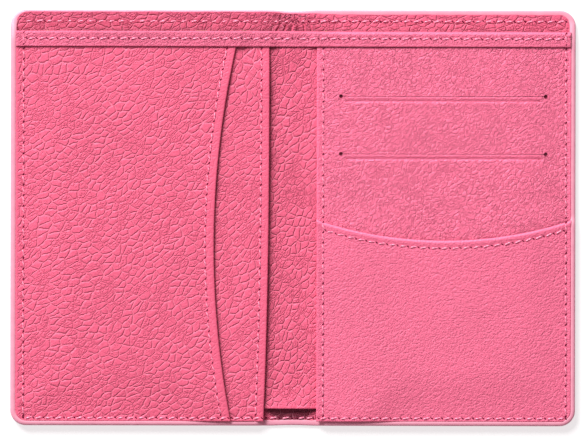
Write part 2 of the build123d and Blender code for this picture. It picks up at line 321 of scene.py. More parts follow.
# Adds the grain's cells to a node tree. Gives the distance from a crease in millimetres, the place on
# the hide, and the place in cells.
def grainCells(tree):
    if tree.type == "GEOMETRY":
        place = addNode(tree, "GeometryNodeInputNamedAttribute", {"Name": "grainPlace"},
                        data_type="FLOAT_VECTOR")
    else:
        place = addNode(tree, attributeNode, attribute_name="grainPlace").outputs["Vector"]
    bent = place
    for way in ("sway", "jitter"):
        noise = addNode(tree, noiseNode, {"Vector": place, "Scale": 1 / grain[way + "Size"], "Detail": 1.0})
        centred = addNode(tree, vectorNode, [noise.outputs["Color"], (0.5, 0.5, 0.5)], operation="SUBTRACT")
        push = addNode(tree, vectorNode, {0: centred, "Scale": grain[way + "Amount"] * 2}, operation="SCALE")
        bent = addNode(tree, vectorNode, [bent, push], operation="ADD")
    turned = addNode(tree, "ShaderNodeVectorRotate", {"Vector": bent, "Angle": -grain["lean"]},
                     rotation_type="Z_AXIS")
    length, width = grain["cell"]
    cells = addNode(tree, vectorNode, [turned, (1 / length, 1 / width, 0)], operation="MULTIPLY")
    fade = addNode(tree, noiseNode, {"Vector": place, "Scale": 1 / grain["fadeSize"], "Detail": 2.0})
    creases = []
    for finer, irregular, fading in (
            (1.0, grain["irregular"], [fade, 0.42, 0.64, 0.0, grain["fadeAmount"]]),
            (grain["finer"], 1.0, [fade, 0.62, 0.36, grain["fineFaint"], grain["fineFaint"] * 2.6])):
        edge = addNode(tree, "ShaderNodeTexVoronoi",
                       {"Vector": cells, "Scale": finer, "Randomness": irregular},
                       voronoi_dimensions="2D", feature="DISTANCE_TO_EDGE")
        faded = addNode(tree, rampNode, fading, **softStep)
        creases.append(addNode(tree, mathNode, [edge, width / finer, faded], operation="MULTIPLY_ADD"))
    return addNode(tree, mathNode, creases, operation="MINIMUM"), place, cells


# A node group that raises a leather mesh into pebbles, by its own grainDepth in millimetres.
def grainRaiser():
    tree = bpy.data.node_groups.new("raisedGrain", "GeometryNodeTree")
    for way in ("INPUT", "OUTPUT"):
        tree.interface.new_socket("Geometry", in_out=way, socket_type="NodeSocketGeometry")
    start = addNode(tree, "NodeGroupInput")
    pebble = addNode(tree, rampNode, [grainCells(tree)[0], 0.0, 1.0, -0.5, 0.25], **softStep)
    depth = addNode(tree, "GeometryNodeInputNamedAttribute", {"Name": "grainDepth"}, data_type="FLOAT")
    rise = addNode(tree, mathNode, [pebble, depth], operation="MULTIPLY")
    rise = addNode(tree, mathNode, [rise, toMetres], operation="MULTIPLY")
    normal = addNode(tree, "GeometryNodeInputNormal")
    offset = addNode(tree, vectorNode, {0: normal, "Scale": rise}, operation="SCALE")
    moved = addNode(tree, "GeometryNodeSetPosition", {"Geometry": start, "Offset": offset})
    addNode(tree, "NodeGroupOutput", [moved])
    return tree


raiser = grainRaiser()


# materials
def emptyMaterial(name):
    material = bpy.data.materials.new(name)
    material.use_nodes = True
    material.node_tree.nodes.clear()
    return material, material.node_tree


# Full-grain cowhide, drum-dyed and milled so that it pebbles: satin, with thin creases between the pebbles
# that are shaded on one side and catch the light on the other, and a painted highlight of paler colour in
# them.
def leatherMaterial(name, colour, creaseHighlightColour, settings):
    material, tree = emptyMaterial(name)
    distance, place, cells = grainCells(tree)
    depth = addNode(tree, attributeNode, attribute_name="grainDepth").outputs["Fac"]
    strength = addNode(tree, mathNode, [depth, 1 / grain["fullDepth"]], operation="MULTIPLY")
    # slow drift of the dye over some 25 mm, and fine mottle under a millimetre
    drift = addNode(tree, noiseNode, {"Vector": place, "Scale": 1 / 25, "Detail": 2.0})
    mottle = addNode(tree, noiseNode, {"Vector": place, "Scale": 1 / 0.8, "Detail": 3.0})
    # the tone attribute darkens or lightens the colour; much of it is painted shade and painted highlight
    value = addNode(tree, attributeNode, attribute_name="dyeTone").outputs["Fac"]
    for noise, change in ((drift, 0.03), (mottle, 0.025)):
        shift = addNode(tree, rampNode, [noise, 0.3, 0.7, -change, change], **softStep)
        value = addNode(tree, mathNode, [value, shift], operation="ADD")
    tone = addNode(tree, "ShaderNodeHueSaturation", {"Value": value, "Color": toLinear(colour)})
    # painted highlight: the colour is mixed towards a pale pink in the creases of deep grain
    line = addNode(tree, rampNode, [distance, 0.0, settings["creaseWidth"] * 0.4, 1.0, 0.0], **softStep)
    shown = addNode(tree, mathNode, [strength, 1.0], operation="MINIMUM")
    for share in (line, settings["creasePale"]):
        shown = addNode(tree, mathNode, [shown, share], operation="MULTIPLY")
    mixed = addNode(tree, "ShaderNodeMix", {"Factor": shown, "A": tone, "B": toLinear(creaseHighlightColour)},
                    data_type="RGBA")
    # relief in millimetres: creases, small folds inside a cell, wrinkles that follow the cells, pores
    crease = addNode(tree, rampNode, [distance, 0.0, settings["creaseWidth"], 1.0, 0.0], **softStep)
    folds = addNode(tree, noiseNode, {"Vector": place, "Scale": 1 / 1.3, "Detail": 2.0})
    bends = addNode(tree, noiseNode, {"Vector": cells, "Scale": 0.85, "Detail": 3.0, "Roughness": 0.6})
    wrinkle = addNode(tree, mathNode, [bends, 0.5], operation="SUBTRACT")
    wrinkle = addNode(tree, mathNode, [wrinkle], operation="ABSOLUTE")
    wrinkle = addNode(tree, rampNode, [wrinkle, 0.0, 0.045, 1.0, 0.0], **softStep)
    pores = addNode(tree, noiseNode, {"Vector": place, "Scale": 1 / 0.7, "Detail": 2.0})
    relief = 0.0
    for height, share, amount in ((crease, depth, -settings["creaseDepth"]), (folds, strength, 0.05),
                                  (wrinkle, depth, -settings["wrinkles"]), (pores, 1.0, settings["pores"])):
        part = addNode(tree, mathNode, [height, share], operation="MULTIPLY")
        relief = addNode(tree, mathNode, [part, amount, relief], operation="MULTIPLY_ADD")
    bump = addNode(tree, "ShaderNodeBump", {"Height": relief, "Distance": toMetres, "Strength": 1.0})
    roughness = settings["roughness"]
    gloss = addNode(tree, rampNode, [mottle, 0.3, 0.7, roughness - 0.04, roughness + 0.05], **softStep)
    shader = addNode(tree, "ShaderNodeBsdfPrincipled", {
        "Base Color": mixed, "Roughness": gloss, "IOR": 1.5, "Specular IOR Level": settings["specular"],
        "Specular Tint": toLinear("#ffb4c8"), "Normal": bump})
    addNode(tree, "ShaderNodeOutputMaterial", {"Surface": shader})
    return material


# Paint, thread, board and cloth: an uneven colour and a fine relief of grainSize millimetres.
def plainMaterial(name, colour, darkColour, grainSize, reliefDepth, roughness, coat=0.0, kind="NOISE",
                  specular=0.5):
    material, tree = emptyMaterial(name)
    where = addNode(tree, "ShaderNodeTexCoord").outputs["Object"]
    scale = 1 / (grainSize * toMetres)
    if kind == "WEAVE":
        bands = [addNode(tree, "ShaderNodeTexWave", {"Vector": where, "Scale": scale / 6.28},
                         bands_direction=axis, wave_profile="SIN").outputs["Fac"] for axis in ("X", "Y")]
        pattern = addNode(tree, mathNode, bands, operation="MAXIMUM")
    elif kind == "TWIST":
        pattern = addNode(tree, "ShaderNodeTexWave",
                          {"Vector": where, "Scale": scale / 6.28, "Distortion": 0.6},
                          bands_direction="DIAGONAL", wave_profile="SIN").outputs["Fac"]
    else:
        pattern = addNode(tree, noiseNode, {"Vector": where, "Scale": scale, "Detail": 2.0})
    share = addNode(tree, rampNode, [pattern, 0.2, 0.8, 0.0, 1.0], **softStep)
    mixed = addNode(tree, "ShaderNodeMix",
                    {"Factor": share, "A": toLinear(darkColour), "B": toLinear(colour)}, data_type="RGBA")
    height = addNode(tree, mathNode, [pattern, reliefDepth], operation="MULTIPLY")
    bump = addNode(tree, "ShaderNodeBump", {"Height": height, "Distance": toMetres})
    shader = addNode(tree, "ShaderNodeBsdfPrincipled", {
        "Base Color": mixed, "Roughness": roughness, "IOR": 1.5, "Specular IOR Level": specular,
        "Coat Weight": coat, "Coat Roughness": 0.15, "Normal": bump})
    addNode(tree, "ShaderNodeOutputMaterial", {"Surface": shader})
    return material


pebbled = leatherMaterial("milledCowhide", "#d65d7a", "#f0a2b6", {
    "creaseWidth": 0.36, "creasePale": 0.27, "creaseDepth": 1.8, "pores": 0.17, "wrinkles": 0.14,
    "roughness": 0.48, "specular": 0.42})
# the same hide ironed almost flat, for the card side
ironed = leatherMaterial("ironedCowhide", "#da6886", "#f2acbf", {
    "creaseWidth": 0.38, "creasePale": 0.24, "creaseDepth": 1.7, "pores": 0.33, "wrinkles": 2.4,
    "roughness": 0.46, "specular": 0.42})
# acrylic edge paint, brushed on in several coats and burnished: pale, smooth and glossy
edgePaint = plainMaterial("burnishedEdgePaint", "#da94a7", "#d48b9f", 3.0, 0.01, 0.48, coat=0.06)
# bonded polyester thread, twisted and dyed to the leather
threadMaterial = plainMaterial("twistedPolyesterThread", "#f69cb6", "#dc7090", 0.35, 0.03, 0.36, kind="TWIST")
# painted shade: dark caps standing for the shadowed walls of a needle hole
holeShadeMaterial = plainMaterial("needleHolePaintedShade", "#741a38", "#541026", 0.3, 0.0, 1.0, specular=0.0)
boardMaterial = plainMaterial("bondedFibreBoard", "#b59a76", "#8f7655", 0.6, 0.03, 0.85)
tapeMaterial = plainMaterial("wovenSeamTape", "#e9dfd2", "#c9bdae", 0.4, 0.03, 0.8, kind="WEAVE")
# deep crimson cloth, made darker still as painted shade for the shade seen through the slit holes
linerMaterial = plainMaterial("wovenPolyesterCloth", "#6a2038", "#4c1426", 0.3, 0.02, 0.8, kind="WEAVE")


# making a sheet of leather
# A closed sheet. shape takes the grid's places and gives x, y, top, bottom and the depth of the grain.
def sheetMesh(name, xs, ys, shape, holes=None, snap=None):
    bm = bmesh.new()
    bmesh.ops.create_grid(bm, x_segments=len(xs) - 1, y_segments=len(ys) - 1, size=1)
    if holes:
        cut = []
        for face in bm.faces:
            middle = face.calc_center_median()
            column = min(int((middle.x + 1) / 2 * (len(xs) - 1)), len(xs) - 2)
            row = min(int((middle.y + 1) / 2 * (len(ys) - 1)), len(ys) - 2)
            if holes((xs[column] + xs[column + 1]) / 2, (ys[row] + ys[row + 1]) / 2):
                cut.append(face)
        bmesh.ops.delete(bm, geom=cut, context="FACES")
    made = bmesh.ops.extrude_face_region(bm, geom=bm.faces[:], use_keep_orig=True)
    upper = [v for v in made["geom"] if isinstance(v, bmesh.types.BMVert)]
    bmesh.ops.translate(bm, verts=upper, vec=(0, 0, 1))
    bmesh.ops.recalc_face_normals(bm, faces=bm.faces)
    mesh = toMesh(name, bm)
    co = np.empty(len(mesh.vertices) * 3)
    mesh.vertices.foreach_get("co", co)
    co = co.reshape(-1, 3)
    gridX = xs[np.rint((co[:, 0] + 1) / 2 * (len(xs) - 1)).astype(int)]
    gridY = ys[np.rint((co[:, 1] + 1) / 2 * (len(ys) - 1)).astype(int)]
    if snap:
        gridX, gridY = snap(gridX, gridY)
    x, y, top, bottom, depth = shape(gridX, gridY)
    isTop = co[:, 2] > 0.5
    placed = np.stack([x, y, np.where(isTop, top, bottom)], axis=1)
    mesh.vertices.foreach_set("co", (placed * toMetres).ravel())
    return mesh, placed, isTop, depth


def storeAttribute(mesh, name, values):
    kind, key = ("FLOAT_VECTOR", "vector") if values.ndim == 2 else ("FLOAT", "value")
    mesh.attributes.new(name, kind, "POINT").data.foreach_set(key, values.astype(np.float32).ravel())


# Makes a sheet with raised grain on its upper side, or on its under side. The grain bends with the
# leather, because each point keeps where it lay when the hide was cut: cut gives the shift over the hide
# in millimetres, the turn in degrees, how much finer the hide is, and a tone that is much painted shade and
# highlight.
def hide(name, xs, ys, shape, cut, holes=None, snap=None, grainUnder=False):
    mesh, placed, isTop, depth = sheetMesh(name, xs, ys, shape, holes, snap)
    turn, finer = math.radians(cut["turn"]), cut["finer"]
    across, along = placed[:, 0], placed[:, 1]
    flat = np.stack([(across * math.cos(turn) + along * math.sin(turn)) * finer + cut["shift"][0],
                     (along * math.cos(turn) - across * math.sin(turn)) * finer + cut["shift"][1],
                     placed[:, 2]], axis=1)
    storeAttribute(mesh, "grainPlace", flat)
    storeAttribute(mesh, "grainDepth", np.where(isTop == grainUnder, 0, depth))
    storeAttribute(mesh, "dyeTone", cut["tone"](across, along) if "tone" in cut else np.ones(len(placed)))
    draft = addObject(name + "Draft", mesh)
    draft.modifiers.new("grain", "NODES").node_group = raiser
    graph = bpy.context.evaluated_depsgraph_get()
    finished = bpy.data.meshes.new_from_object(draft.evaluated_get(graph), depsgraph=graph)
    finished.name = name
    bpy.data.objects.remove(draft)
    finished.shade_smooth()
    return finished


def addPiece(name, mesh, material, sharp=None):
    obj = addObject(name, mesh)
    if sharp:
        mesh.set_sharp_from_angle(angle=math.radians(sharp))
    setMaterial(obj, material)
    return obj


# Hands over a piece that rides on one body.
def handOver(obj, nodes, body):
    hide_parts(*nodes)
    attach(obj, body)


# Hides the frame's nodes for one half of a piece that crosses the spine, and bakes the half's placement into
# its mesh.
def bendHalf(obj, side, nodes):
    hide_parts(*nodes)
    if side < 0:
        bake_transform(obj)
    else:
        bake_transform(obj)


# How far a turned edge has dropped at this distance from its end.
def rolled(distance, radius):
    near = np.clip(radius - distance, 0, radius)
    return radius - np.sqrt(np.maximum(radius ** 2 - near ** 2, 0))


# Cuts a piece that crosses the spine in two at its middle; each half keeps the whole piece's normals.
def halves(name, mesh, material, nodesLeft, nodesRight):
    normals = np.empty(len(mesh.vertices) * 3, np.float32)
    mesh.vertex_normals.foreach_get("vector", normals)
    storeAttribute(mesh, "fullNormal", normals.reshape(-1, 3))
    for side, sideName, nodes in ((-1, "Left", nodesLeft), (1, "Right", nodesRight)):
        bm = bmesh.new()
        bm.from_mesh(mesh)
        beyond = [f for f in bm.faces if f.calc_center_median().x * side < 0]
        bmesh.ops.delete(bm, geom=beyond, context="FACES")
        bmesh.ops.holes_fill(bm, edges=[e for e in bm.edges if e.is_boundary], sides=0)
        half = toMesh(name, bm)
        half.shade_smooth()
        old = np.empty(len(half.vertices) * 3, np.float32)
        half.attributes["fullNormal"].data.foreach_get("vector", old)
        half.normals_split_custom_set_from_vertices(old.reshape(-1, 3).tolist())
        half.attributes.remove(half.attributes["fullNormal"])
        bendHalf(addPiece(name + sideName, half, material), side, nodes)
    bpy.data.meshes.remove(mesh)


# shell: the outer leather, seen from behind
shellSettings = {"step": 0.62, "stepEnds": 0.434, "grain": 0.13, "roll": 0.45}


def shellShape(gridX, gridY):
    inset = leather["outlineInset"]
    edge = cornerX(gridY, inset, inset)
    x = eased(gridX, halfWidth - inset, edge, 14 - inset)
    y = gridY * (1 - bowIn(x, gridY) / halfHeight)
    distance = np.minimum(edge - np.abs(x), halfHeight - inset - np.abs(gridY))
    bottom = rolled(distance, shellSettings["roll"]) + 0.05
    depth = shellSettings["grain"] * smooth(0.5, 3.0, distance)
    return x, y, np.full_like(x, leather["shell"]), bottom, depth


edgeX, edgeY = halfWidth - leather["outlineInset"], halfHeight - leather["outlineInset"]
step, stepEnds = shellSettings["step"], shellSettings["stepEnds"]
xs = stations([(-edgeX, 0, step), (0, edgeX, step)])
ys = stations([(-edgeY, 6 - edgeY, stepEnds), (6 - edgeY, edgeY - 6, step), (edgeY - 6, edgeY, stepEnds)])
halves("outerShell", hide("outerShell", xs, ys, shellShape, {"shift": (400, 300), "turn": 0, "finer": 1.0},
                          grainUnder=True),
       pebbled, ["shell_left", "shell_spine"], ["shell_right"])
print("shell made")


# rim: the painted edge, one rounded bead round the whole outline
rimSettings = {"width": 2.15, "low": 0.04, "high": 1.25, "highAtPockets": 2.45, "highAtStack": 3.12,
               "step": 0.8, "around": 20, "square": 0.68, "cornerSteps": 13}


# The painted edge is taller where the pockets are sewn in, and tallest where three layers lie.
def rimHeight(x, y):
    beside = (1 - smooth(60, 70.5, y)) * smooth(9, 12, abs(x + 0.5))
    stack = max(1 - smooth(-20, -16, x), 1 - smooth(receiptCorner - 1.5, receiptCorner + 1.5, y))
    high, atPockets, atStack = [rimSettings[key] for key in ("high", "highAtPockets", "highAtStack")]
    return high + (atPockets + (atStack - atPockets) * stack - high) * beside


# Points (x, y) of the outline with the direction outwards, anticlockwise from the lower left.
def rimPath():
    radius = leather["cornerRadius"]
    straightX, straightY = halfWidth - radius, halfHeight - radius
    steps = np.arange(-straightX, straightX + 0.01, rimSettings["step"])
    across = sorted({round(float(s), 4) for s in steps} | {0.0})
    climb = np.arange(-straightY, straightY + 0.01, rimSettings["step"])
    turns = np.linspace(0, math.pi / 2, rimSettings["cornerSteps"])[1:-1]

    def corner(middleX, middleY, start):
        return [(middleX + radius * math.cos(start + t), middleY + radius * math.sin(start + t),
                 math.cos(start + t), math.sin(start + t)) for t in turns]

    return ([(x, -halfHeight + float(bowIn(x, -1)), 0, -1) for x in across]
            + corner(straightX, -straightY, -math.pi / 2) + [(halfWidth, y, 1, 0) for y in climb]
            + corner(straightX, straightY, 0)
            + [(x, halfHeight - float(bowIn(x, 1)), 0, 1) for x in reversed(across)]
            + corner(-straightX, straightY, math.pi / 2) + [(-halfWidth, y, -1, 0) for y in reversed(climb)]
            + corner(-straightX, -straightY, math.pi))


def rimMesh():
    path, around, square = rimPath(), rimSettings["around"], rimSettings["square"]
    reach = rimSettings["width"] / 2
    bm = bmesh.new()
    bmesh.ops.create_grid(bm, x_segments=len(path), y_segments=around, size=1)
    for vert in bm.verts:
        x, y, outX, outY = path[round((vert.co.x + 1) / 2 * len(path)) % len(path)]
        turn = round((vert.co.y + 1) / 2 * around) % around / around * math.tau
        out, up = math.cos(turn), math.sin(turn)
        # a flat-topped section with rounded corners
        out = math.copysign(abs(out) ** square, out) * reach - reach
        up = (math.copysign(abs(up) ** square, up) + 1) / 2
        vert.co = Vector((x + outX * out, y + outY * out,
                          up * (rimHeight(x, y) - rimSettings["low"]) + rimSettings["low"]))
    bmesh.ops.remove_doubles(bm, verts=bm.verts, dist=0.0005)
    bmesh.ops.recalc_face_normals(bm, faces=bm.faces)
    bmesh.ops.scale(bm, vec=(toMetres,) * 3, verts=bm.verts)
    mesh = toMesh("paintedRim", bm)
    mesh.shade_smooth()
    return mesh


halves("paintedRim", rimMesh(), edgePaint,
       ["edge_paint_left", "edge_paint_spine"], ["edge_paint_right"])
print("rim made")


# lining, seen along the top strip and in the gap at the foot of the spine
liningSettings = {"topGrain": 0.21, "insetSide": 1.65, "insetTop": 0.5, "insetTopRight": 1.3,
                  "insetBottom": 1.1}


# Folds that fan out from the spine, where the leather is gathered at the top strip.
def spineWrinkles(x, y):
    fan = (x + 2) * (1 + 0.07 * (y - hemHigh)) + 0.3 * np.sin(y * 1.4)
    folds = np.sin(fan * math.tau / 2.3) + 0.6 * np.sin(fan * math.tau / 1.35 + 1.3)
    return 0.36 * folds * (1 - smooth(3.0, 13.0, np.abs(x - 0.5)))


# The lining's top strip is darker on the left; painted shade darkens it beside the spine and along its foot
# next to the hem, and painted shade makes it darkest down in the foot of the fold.
def liningToneAndShade(x, y):
    strip = 0.86 + 0.14 * smooth(-2, 14, x)
    strip = strip - 0.14 * (1 - smooth(1, 7, np.abs(x + 4.5))) - 0.24 * (1 - smooth(63.9, 66.4, y))
    foot = smooth(-10.6 + (-65.2 - y) * 0.9, -8.8 + (-65.2 - y) * 1.2, x)
    foot = foot * (1 - smooth(7.6 - (-65.2 - y) * 1.2, 9.2 - (-65.2 - y) * 0.9, x))
    return np.where(y > 0, strip, 1 - 0.72 * foot)


def liningShape(gridX, gridY):
    settings = liningSettings
    full = halfWidth - settings["insetSide"]
    insetY = np.where(gridY > 0, settings["insetTop"], settings["insetBottom"])
    edge = cornerX(gridY, settings["insetSide"], insetY)
    x = eased(gridX, full, edge, 13)
    y = gridY * (1 - bowIn(x, gridY) / halfHeight)
    distance = np.minimum(edge - np.abs(x), halfHeight - insetY - np.abs(gridY))
    # the top edge is cut lower on the right, and a little uneven
    lower = (settings["insetTopRight"] - settings["insetTop"]) * smooth(-8, 20, gridX)
    y = y - (lower + 0.08 * ripple(gridX, 0, 5, 7)) * smooth(58, halfHeight, y)
    topStrip = smooth(56, 62, y)
    top = liningTop(x, y) + spineWrinkles(x, y) * topStrip * smooth(0, 1.2, distance)
    top = top + 0.1 * ripple(x, y, 3, 11) * topStrip * smooth(0.2, 2.5, distance)
    top = top + (0.42 - 0.3 * smooth(-2, 12, x)) * smooth(hemHigh, halfHeight - 1.0, y)
    bottom = liningTop(x, y) - leather["lining"] - 0.1
    return x, y, top - rolled(distance, 0.25), bottom, settings["topGrain"] * smooth(0.1, 1.2, distance)


full = halfWidth - liningSettings["insetSide"]
xs = stations([(-full, -12, 0.55), (-12, 0, 0.4), (0, 12, 0.4), (12, full, 0.55)])
ys = stations([(-halfHeight + liningSettings["insetBottom"], -61, 0.45), (-61, 56, leather["coarseStep"]),
               (56, halfHeight - liningSettings["insetTop"], 0.4)])
halves("lining", hide("lining", xs, ys, liningShape,
                      {"shift": (-300, 500), "turn": -22, "finer": 1.1, "tone": liningToneAndShade}),
       pebbled, ["lining_left", "lining_spine"], ["lining_right"])
print("lining made")


# A painted shadow: a darker band close under the hem, which strengthens the hem's own shadow.
def paintedShadowUnderHem(x, y):
    return 1 - 0.62 * ridge(np.maximum(hemLow - y, 0), 0.42)


# divider: the wall of the banknote compartment, seen in the spine
dividerSettings = {"grain": 0.175, "notchLeft": sleeveTopX - 3.4, "notchRight": panelEdge + 1.6}


def dividerShape(gridX, gridY):
    insetX = np.where(gridX < 0, halfWidth + leftEdge, halfWidth - rightEdge)
    full = halfWidth - insetX
    edge = np.where(gridY < 0, cornerX(gridY, insetX, panelsLow + halfHeight), full)
    x, y = eased(gridX, full, edge, 13), gridY
    top = dividerTop(x, y)
    distance = np.clip(np.where(np.abs(x) < 12, y - caveLow, 5), 0, 5)
    bottom = np.maximum(top - leather["layer"], liningTop(x, y) + 0.02)
    depth = dividerSettings["grain"] * smooth(0.3, 1.5, distance)
    return x, y, top - rolled(distance, leather["edgeRoll"]), bottom, depth


# Painted shadow beside the sleeve's edge, and under the hem, where they lie close over it.
def dividerPaintedShade(x, y):
    return (1 - 0.5 * np.exp(-np.maximum(x - sleeveEdge(y), 0) / 1.3)) * paintedShadowUnderHem(x, y)


def dividerNotch(x, y):
    return y < caveLow and dividerSettings["notchLeft"] < x < dividerSettings["notchRight"]


xs = stations([(leftEdge, dividerSettings["notchLeft"], leather["coarseStep"]),
               (dividerSettings["notchLeft"], 0, 0.42), (0, dividerSettings["notchRight"], 0.42),
               (dividerSettings["notchRight"], rightEdge, leather["coarseStep"])])
ys = stations([(panelsLow, caveLow, 1.0), (caveLow, caveLow + 0.36, 0.12), (caveLow + 0.36, panelsTop, 0.5)])
halves("divider", hide("divider", xs, ys, dividerShape,
                       {"shift": (150, -250), "turn": 16, "finer": 1.05, "tone": dividerPaintedShade}, dividerNotch),
       pebbled, ["divider_left", "divider_spine"], ["divider_right"])
print("divider made")


# pockets that ride on one cover
def pocket(name, xs, ys, shape, material, body, nodes, cut, holes=None, snap=None):
    obj = addPiece(name, hide(name, xs, ys, shape, cut, holes, snap), material, sharp=50)
    handOver(obj, nodes, body)


# Grain fades on the smooth band between a seam and its turned edge.
def seamBand(distance, inside, fadeTo):
    return fadeTo + (1 - fadeTo) * smooth(inside - 0.2, inside + 0.9, distance)


# The furrow that a tight seam presses into the leather.
def sewnDip(distance, depth=0.14, width=0.75):
    return -depth * ridge(distance, width)


seams = {
    "leftX": -halfWidth + 4.5, "rightX": halfWidth - 3.3, "bottomY": -halfHeight + 2.7,
    "topY": halfHeight - 3.75, "hemY": hemHigh - 3.0,
    "sleeve": 2.75, "slip": 3.0, "panel": 2.3, "receipt": 2.6,    # inside each edge
}


def outerLeft(y):
    return -cornerX(np.minimum(y, 0), halfWidth + leftEdge + 0.35, panelsLow + halfHeight)


def outerRight(y):
    return cornerX(np.minimum(y, 0), halfWidth - rightEdge + 0.2, panelsLow + halfHeight)


leftSettings = {"grain": 0.14, "sleeveBand": 0.35, "slipBand": 0.3, "slipEnd": -20.0}


def sleeveShape(gridX, gridY):
    low, high, y = outerLeft(gridY), sleeveEdge(gridY), gridY
    x = spread(gridX, leftEdge, sleeveTopX, low, high)
    fromEdge = high - x
    distance = np.minimum(np.minimum(fromEdge, x - low), y - panelsLow)
    top = sleeveTop(x, y) + sewnDip(fromEdge - seams["sleeve"]) + sewnDip(y - seams["bottomY"], 0.1)
    top = top - rolled(distance, leather["edgeRoll"])
    depth = leftSettings["grain"] * seamBand(fromEdge, seams["sleeve"], leftSettings["sleeveBand"])
    return x, y, top, sleeveTop(x, y) - layerAt(x, y), depth * smooth(0.3, 1.4, distance)


# Painted shadow beside the slip pocket's edge, and under the hem.
def sleevePaintedShadow(x, y):
    return (1 - 0.45 * np.exp(-np.maximum(x - slipMouth(y), 0) / 0.9)) * paintedShadowUnderHem(x, y)


fine = leather["fineStep"]
pocketYs = stations([(panelsLow, panelsLow + 5, 0.35), (panelsLow + 5, panelsTop, fine)])
sleeveXs = stations([(leftEdge, -31, 1.6), (-31, sleeveTopX, 0.42)])
pocket("passportSleeve", sleeveXs, pocketYs, sleeveShape, pebbled, "left_cover",
       ["passport_sleeve"], {"shift": (0, 100), "turn": 4, "finer": 1.0, "tone": sleevePaintedShadow})


def slipShape(gridX, gridY):
    low, high, y = outerLeft(gridY), slipMouth(gridY), gridY
    x = spread(gridX, leftEdge, leftSettings["slipEnd"], low, high)
    fromEdge = high - x
    distance = np.minimum(np.minimum(fromEdge, x - low), y - panelsLow)
    top = slipTop(x, y) + sewnDip(fromEdge - seams["slip"]) + sewnDip(x - seams["leftX"], 0.12)
    top = top + sewnDip(y - seams["bottomY"], 0.1) + 0.05 * ripple(x, y, 11, 30)
    top = top - rolled(distance, leather["edgeRoll"])
    depth = leftSettings["grain"] * seamBand(fromEdge, seams["slip"], leftSettings["slipBand"])
    return x, y, top, slipTop(x, y) - layerAt(x, y), depth * smooth(0.3, 1.4, distance)


slipXs = stations([(leftEdge, leftEdge + 4, 0.35), (leftEdge + 4, leftSettings["slipEnd"], fine)])
pocket("slipPocket", slipXs, pocketYs, slipShape, pebbled, "left_cover",
       ["slip_pocket"], {"shift": (0, 0), "turn": -4, "finer": 1.0, "tone": paintedShadowUnderHem})
print("left pockets made")


# card panel, with two slits that end in punched holes
cardSettings = {"slitStart": panelEdge + 8.3, "slitEnd": rightEdge - 8.8, "slitHalf": 0.07,
                "holeRadius": 0.66, "lipDrop": 1.75, "grain": 0.1, "tone": 1.13}
holeX = [cardSettings["slitStart"], cardSettings["slitEnd"]]
pressedEnds = [cardSettings["slitStart"] + 2.0, cardSettings["slitEnd"] - 2.4]


def cardHoles(x, y):
    for level in slitLevels:
        across, reach = abs(y - level), cardSettings["holeRadius"]
        if across < cardSettings["slitHalf"] and holeX[0] < x < holeX[1]:
            return True
        for middle in holeX:
            along = abs(x - middle)
            if along < reach and across < reach and min(along, across) < cardSettings["slitHalf"]:
                return True
    return False


# Pulls the grid points about each end hole onto its circle.
def cardSnap(gridX, gridY):
    x, y = gridX.copy(), gridY.copy()
    for level in slitLevels:
        for middle in holeX:
            dx, dy = gridX - middle, gridY - level
            half, reach = cardSettings["slitHalf"], cardSettings["holeRadius"]
            near = (np.abs(dx) < reach + 0.01) & (np.abs(dy) < reach + 0.01)
            near &= ~((np.abs(dx) > reach - 0.01) & (np.abs(dy) > reach - 0.01))
            near &= (np.abs(dx) > half - 0.01) | (np.abs(dy) > half - 0.01)
            length = np.hypot(dx, dy) + 1e-9
            x = np.where(near, middle + dx / length * reach, x)
            y = np.where(near, level + dy / length * reach, y)
    return x, y


# How far down a point lies below a slit, and 1 along the slit but 0 at its ends.
def besideSlit(x, y, level):
    along = smooth(holeX[0] + 0.8, holeX[0] + 2.6, x) * (1 - smooth(holeX[1] - 2.6, holeX[1] - 0.8, x))
    return level - y, along


def cardShape(gridX, gridY):
    high, y = outerRight(gridY), gridY
    x = spread(gridX, panelEdge, rightEdge, panelEdge, high)
    distance = np.minimum(np.minimum(x - panelEdge, high - x), y - panelsLow)
    top = panelTop(x, y) + sewnDip(x - panelEdge - seams["panel"], 0.12) + sewnDip(x - seams["rightX"], 0.1)
    top = top + 0.04 * ripple(x, y, 21, 34)
    grainHere = cardSettings["grain"] * seamBand(x - panelEdge, seams["panel"], 0.7)
    for level in slitLevels:
        below, along = besideSlit(x, y, level)
        # a pressed line below the slit, where the cards' edges have worn the leather down
        past = below - cardSettings["lipDrop"]
        top = top - 0.27 * along * np.exp(-np.where(past > 0, past / 0.4, -past / 0.55))
        for end in pressedEnds:
            top = top - 0.3 * ridge(np.hypot((x - end) / 1.4, past), 0.24)
        top = top + 0.13 * along * ridge(below - 0.7, 0.42)
        grainHere = grainHere * (1 - 0.7 * along * smooth(-0.4, 0.2, below) * (1 - smooth(1.9, 2.4, below)))
    top = top - rolled(distance, leather["edgeRoll"])
    return x, y, top, panelTop(x, y) - layerAt(x, y), grainHere * smooth(0.3, 1.4, distance)


# Lighter overall, with painted shadow under the hem; a painted highlight just below the pressed line under
# each slit, and painted shade just above that line and behind the receipt pocket's mouth.
def cardPaintedLight(x, y):
    tone = cardSettings["tone"] * paintedShadowUnderHem(x, y)
    for level in slitLevels:
        below, along = besideSlit(x, y, level)
        past = below - cardSettings["lipDrop"]
        tone = tone + along * (0.36 * ridge(past - 0.4, 0.25) - 0.16 * ridge(past + 0.25, 0.25))
    share = np.clip((x - panelEdge) / (rightEdge - panelEdge), 0, 1)
    above = np.maximum(y - receiptMouth(x), 0)
    return tone - share ** 0.4 * (0.45 * np.exp(-above / 0.4) + 0.14 * np.exp(-above / 2.0))


def besideHoles(places, middle):
    reach, half = cardSettings["holeRadius"], cardSettings["slitHalf"]
    kept = [p for p in places if abs(p - middle) > reach + 0.12]
    return np.array(sorted(kept + [middle - reach, middle - half, middle + half, middle + reach]))


